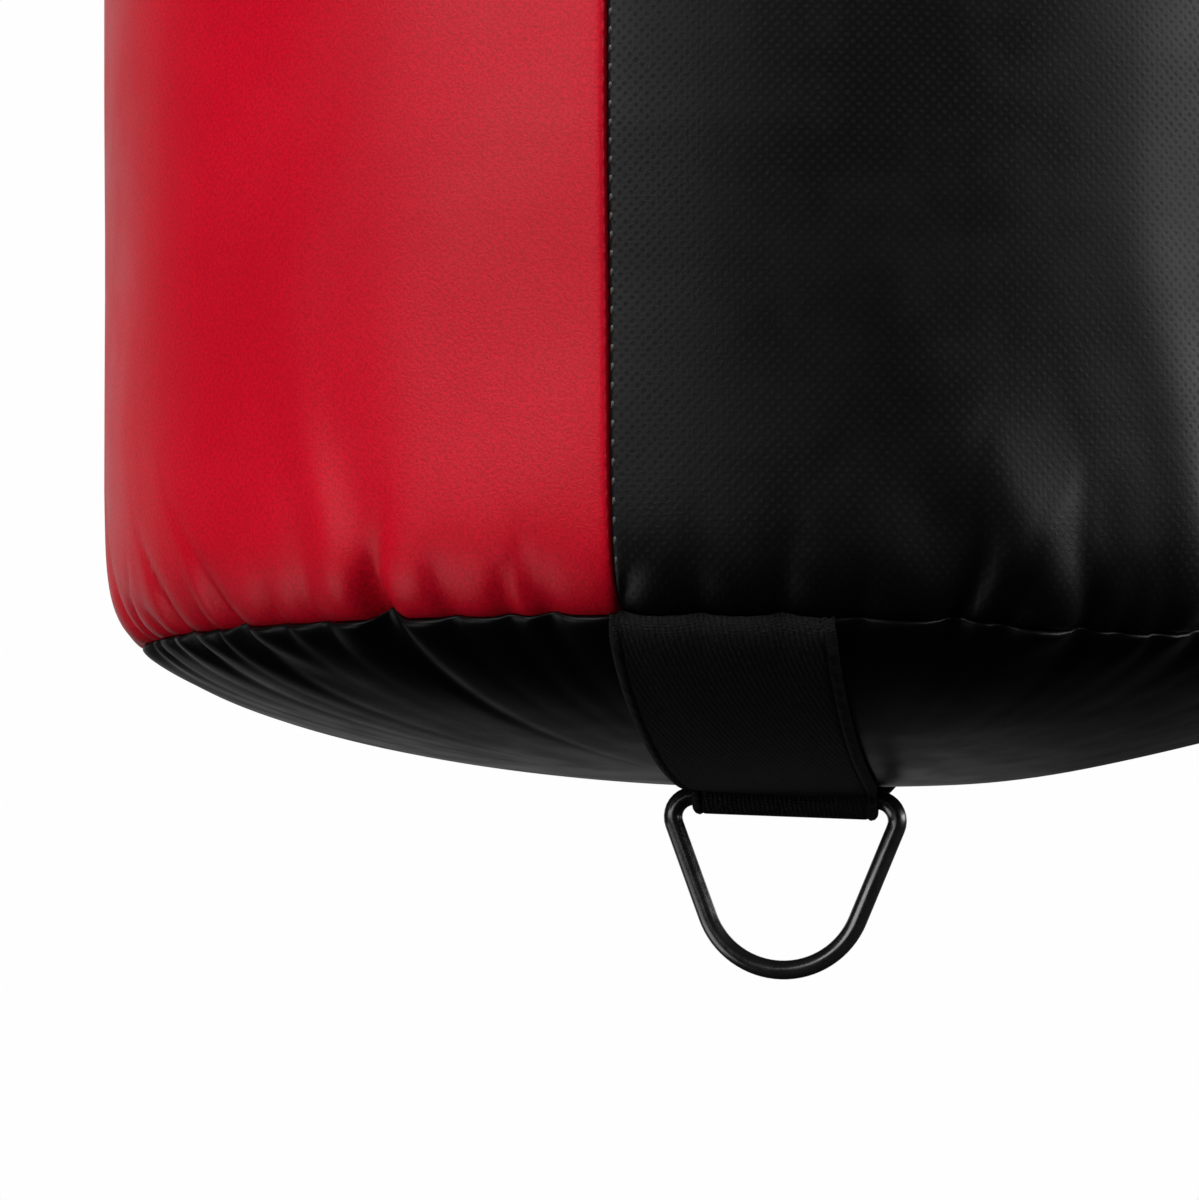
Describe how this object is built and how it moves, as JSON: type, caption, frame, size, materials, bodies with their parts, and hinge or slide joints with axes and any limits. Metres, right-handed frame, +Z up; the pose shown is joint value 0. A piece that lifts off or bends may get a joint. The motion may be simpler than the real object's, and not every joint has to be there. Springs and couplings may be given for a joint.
{
  "type": "heavy punching bag",
  "caption": "Cylindrical filled striking bag in two colours, hung by four chains from a swivel and a snap hook, with a tether ring under it.",
  "frame": {"origin": "highest point inside the snap hook's upper bow, where it rests on whatever the bag hangs from", "axes": "+Z up along the hanging bag; the bottom strap runs along Y, with its front end at -Y; the snap hook, the master ring and the bottom ring lie in the XZ plane"},
  "size_m": [0.356, 0.356, 1.5824],
  "materials": {
    "red_vinyl": "satin coated fabric",
    "black_vinyl": "semi-gloss coated fabric",
    "black_webbing": "matt woven webbing",
    "black_steel": "gloss black",
    "zinc_steel": "bright zinc plate",
    "black_zip": "matt",
    "foam": "open-cell foam",
    "shredded_textile": "loose shredded cloth",
    "sand": "dry sand in a sack"
  },
  "bodies": {
    "hook": {"snap_hook_body": "zinc_steel", "gate_pin": "zinc_steel"},
    "gate": {"snap_hook_gate": "zinc_steel"},
    "eye_bolt": {"swivel_eye_bolt": "zinc_steel", "swivel_nut": "zinc_steel", "swivel_bearing": "zinc_steel"},
    "yoke": {"swivel_yoke": "zinc_steel", "yoke_bolt": "zinc_steel", "yoke_nut": "zinc_steel"},
    "bottom_ring": {"bottom_ring": "black_steel"},
    "zip_slider": {"zip_slider": "black_steel"},
    "zip_pull": {"zip_pull": "black_steel"},
    "bag": {"red_panel_left": "red_vinyl", "red_panel_right": "red_vinyl", "black_panel_front": "black_vinyl", "black_panel_rear": "black_vinyl", "bottom_panel": "black_vinyl", "top_panel_front": "black_vinyl", "top_panel_rear": "black_vinyl", "hanging_strap_right_rear": "black_webbing", "hanging_strap_left_rear": "black_webbing", "hanging_strap_left_front": "black_webbing", "hanging_strap_right_front": "black_webbing", "bottom_strap": "black_webbing", "hanging_ring_right_rear": "black_steel", "hanging_ring_left_rear": "black_steel", "hanging_ring_left_front": "black_steel", "hanging_ring_right_front": "black_steel", "chain_link_right_rear_1": "zinc_steel", "chain_link_right_rear_2": "zinc_steel", "chain_link_right_rear_3": "zinc_steel", "chain_link_right_rear_4": "zinc_steel", "chain_link_right_rear_5": "zinc_steel", "chain_link_left_rear_1": "zinc_steel", "chain_link_left_rear_2": "zinc_steel", "chain_link_left_rear_3": "zinc_steel", "chain_link_left_rear_4": "zinc_steel", "chain_link_left_rear_5": "zinc_steel", "chain_link_left_front_1": "zinc_steel", "chain_link_left_front_2": "zinc_steel", "chain_link_left_front_3": "zinc_steel", "chain_link_left_front_4": "zinc_steel", "chain_link_left_front_5": "zinc_steel", "chain_link_right_front_1": "zinc_steel", "chain_link_right_front_2": "zinc_steel", "chain_link_right_front_3": "zinc_steel", "chain_link_right_front_4": "zinc_steel", "chain_link_right_front_5": "zinc_steel", "s_hook_right_rear": "zinc_steel", "s_hook_left_rear": "zinc_steel", "s_hook_left_front": "zinc_steel", "s_hook_right_front": "zinc_steel", "master_ring": "zinc_steel", "zip_track": "black_zip", "foam_liner": "foam", "textile_filling": "shredded_textile", "sand_core": "sand"}
  },
  "joints": [
    {"name": "gate_hinge", "type": "hinge", "parent": "hook", "child": "gate", "pos_m": [0.01179, 0, -0.05055], "axis": [0, -1, 0], "range_deg": [0, 28], "stiffness_Nm_per_rad": 0.1, "springref_deg": -20.05},
    {"name": "bow_swing", "type": "hinge", "parent": "hook", "child": "eye_bolt", "pos_m": [0, 0, -0.068], "axis": [1, 0, 0], "range_deg": [-45, 45]},
    {"name": "swivel_spin", "type": "hinge", "parent": "eye_bolt", "child": "yoke", "pos_m": [0, 0, -0.101], "axis": [0, 0, 1], "continuous": true},
    {"name": "bag_swing", "type": "hinge", "parent": "yoke", "child": "bag", "pos_m": [0, 0, -0.144], "axis": [0, 1, 0], "range_deg": [-45, 45]},
    {"name": "bottom_ring_hinge", "type": "hinge", "parent": "bag", "child": "bottom_ring", "pos_m": [0, 0, -1.5267], "axis": [1, 0, 0], "range_deg": [-60, 60]},
    {"name": "zip_slide", "type": "slide", "parent": "bag", "child": "zip_slider", "axis": [1, 0, 0], "range_m": [0, 0.25]},
    {"name": "zip_pull_hinge", "type": "hinge", "parent": "zip_slider", "child": "zip_pull", "pos_m": [-0.1265, 0, -0.4523], "axis": [0, 1, 0], "range_deg": [0, 180]}
  ]
}
